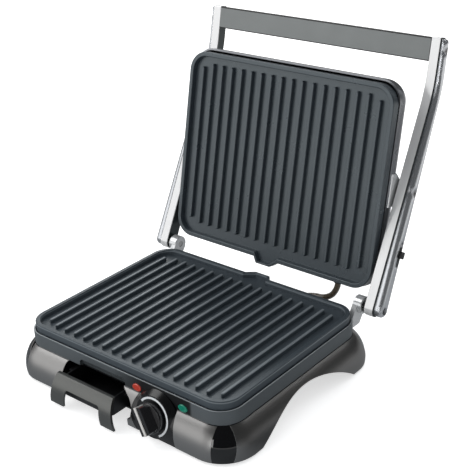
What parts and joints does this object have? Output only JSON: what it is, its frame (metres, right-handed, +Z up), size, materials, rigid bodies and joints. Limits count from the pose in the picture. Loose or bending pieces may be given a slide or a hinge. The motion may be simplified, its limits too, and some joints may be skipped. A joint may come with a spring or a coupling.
{
  "type": "contact grill",
  "caption": "Contact grill with ribbed plates, a floating lid on swinging arms joined by a handle, a drip tray and a thermostat dial.",
  "frame": {"origin": "on the floor, under the middle of the whole part as it stands open", "axes": "+Z up, -Y towards the user at the drip tray and the dial, +X to the user's right"},
  "size_m": [0.345, 0.414, 0.342],
  "materials": {
    "shell_gloss": "gloss",
    "band_satin": "satin",
    "panel_metallic": "metallic satin",
    "control_gloss": "gloss",
    "print_white": "printed",
    "lens_red": "translucent",
    "lens_green": "translucent",
    "lamp_glass": "clear",
    "plate_coated": "non-stick coated, satin",
    "heater_steel": "oxidised",
    "reflector_aluminium": "bright",
    "ceramic_white": "glazed",
    "thermostat_metal": "plain",
    "pan_black": "matte",
    "rail_steel": "galvanised",
    "hinge_chrome": "polished",
    "pin_steel": "ground",
    "bush_nylon": "plain",
    "foot_rubber": "matte",
    "screw_steel": "plated",
    "gland_rubber": "matte",
    "lead_sleeve": "silky",
    "tray_black": "satin",
    "tray_face": "metallic satin",
    "knob_black": "gloss",
    "knob_silver": "bright",
    "arm_chrome": "polished",
    "grip_black": "satin",
    "grip_grey": "brushed",
    "slider_black": "satin",
    "lid_cover_metal": "satin",
    "lid_steel": "brushed",
    "frame_black": "matte"
  },
  "bodies": {
    "base": {"base_shell": "shell_gloss", "bezel_band": "band_satin", "bottom_pan": "pan_black", "panel_front_left": "panel_metallic", "panel_front_middle": "panel_metallic", "panel_front_right": "panel_metallic", "panel_side_right": "panel_metallic", "panel_side_left": "panel_metallic", "control_panel": "control_gloss", "dial_scale": "print_white", "lens_red": "lens_red", "lens_green": "lens_green", "indicator_lamps": "lamp_glass", "thermostat": "thermostat_metal", "thermostat_bracket": "rail_steel", "lower_plate": "plate_coated", "lower_element": "heater_steel", "lower_reflector": "reflector_aluminium", "thermal_fuse": "ceramic_white", "terminal_block": "ceramic_white", "tray_rails": "rail_steel", "grease_chute": "reflector_aluminium", "hinge_bracket_right": "hinge_chrome", "hinge_bracket_left": "hinge_chrome", "hinge_pins": "pin_steel", "rubber_feet": "foot_rubber", "pan_screws": "screw_steel", "mains_inlet": "gland_rubber", "base_cable_gland": "gland_rubber", "link_cable": "lead_sleeve"},
    "drip_tray": {"drip_tray_bin": "tray_black", "drip_tray_front": "tray_face"},
    "dial": {"knob": "knob_black", "knob_pointer": "knob_silver", "knob_shaft": "pin_steel"},
    "arms": {"arm_right": "arm_chrome", "arm_left": "arm_chrome", "arm_cover_right": "arm_chrome", "arm_cover_left": "arm_chrome", "hinge_bushes": "bush_nylon", "pivot_pins": "pin_steel", "arm_screws": "screw_steel", "handle_core": "grip_black", "handle_plate": "grip_grey"},
    "lid": {"lid_cover": "lid_cover_metal", "lid_back_panel": "lid_steel", "lid_frame": "frame_black", "upper_plate": "plate_coated", "upper_element": "heater_steel", "upper_reflector": "reflector_aluminium", "pivot_ear_right": "hinge_chrome", "pivot_ear_left": "hinge_chrome", "lid_screws": "screw_steel", "lid_cable_gland": "gland_rubber"},
    "slider": {"release_slider": "slider_black"}
  },
  "joints": [
    {"name": "arm_hinge", "type": "hinge", "parent": "base", "child": "arms", "pos_m": [0, 0.07442, 0.063], "axis": [1, 0, 0], "range_deg": [-76, 102.7], "deforming": ["link_cable"]},
    {"name": "lid_tilt", "type": "hinge", "parent": "arms", "child": "lid", "pos_m": [0, 0.13617, 0.18235], "axis": [-1, 0, 0], "range_deg": [-8, 0]},
    {"name": "tray_slide", "type": "slide", "parent": "base", "child": "drip_tray", "axis": [0, -1, 0], "range_m": [-0.018, 0.14]},
    {"name": "knob_turn", "type": "hinge", "parent": "base", "child": "dial", "pos_m": [0.0593, -0.18608, 0.026], "axis": [0, -0.9848, 0.1736], "range_deg": [-184, 16]},
    {"name": "release_slide", "type": "slide", "parent": "arms", "child": "slider", "axis": [0, 0.4695, 0.8829], "range_m": [-0.006, 0.006]}
  ]
}
